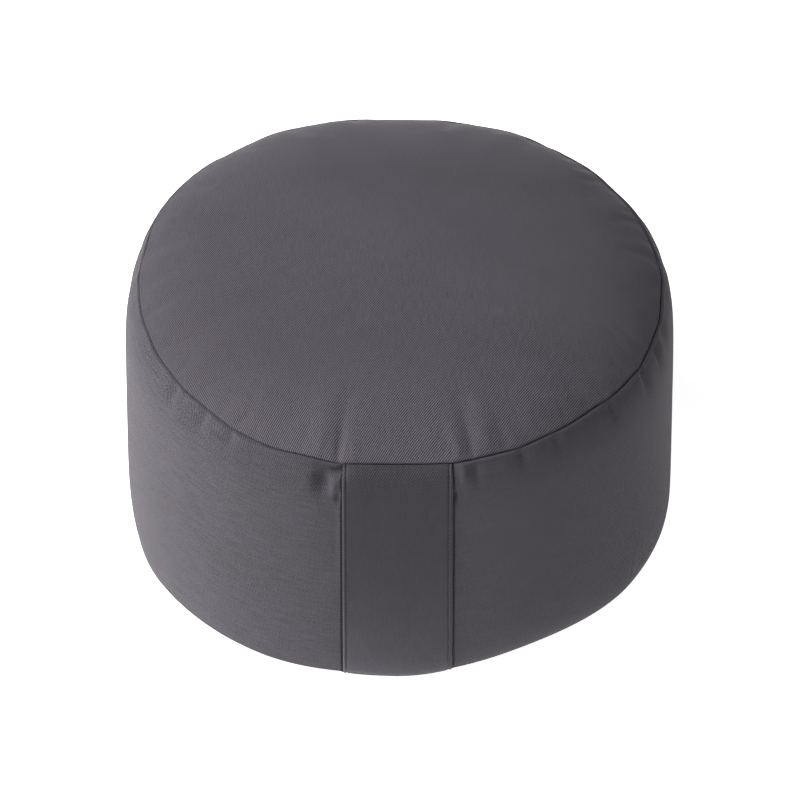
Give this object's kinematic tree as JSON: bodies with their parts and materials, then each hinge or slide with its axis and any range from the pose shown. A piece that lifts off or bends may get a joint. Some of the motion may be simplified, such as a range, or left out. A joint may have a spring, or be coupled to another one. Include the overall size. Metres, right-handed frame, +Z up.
{
  "type": "zafu meditation cushion",
  "caption": "Round drum-shaped floor cushion with a crowned top, a plain sewn side band and a wide upright carry strap on its front.",
  "frame": {"origin": "on the surface that the cushion stands on, under the middle of the cushion", "axes": "+Z up, out of the crowned top; the carry strap is on the front, at -Y; +X is to its right as seen from the front"},
  "size_m": [0.2963, 0.3013, 0.1805],
  "materials": {
    "band_twill": "matt cotton twill, dark grey",
    "panel_twill": "matt cotton twill, dark grey",
    "strap_twill": "matt cotton twill, dark grey, folded double"
  },
  "bodies": {
    "root": {"cushion_body": "band_twill", "top_panel": "panel_twill", "bottom_panel": "panel_twill", "carry_strap": "strap_twill"}
  },
  "joints": []
}
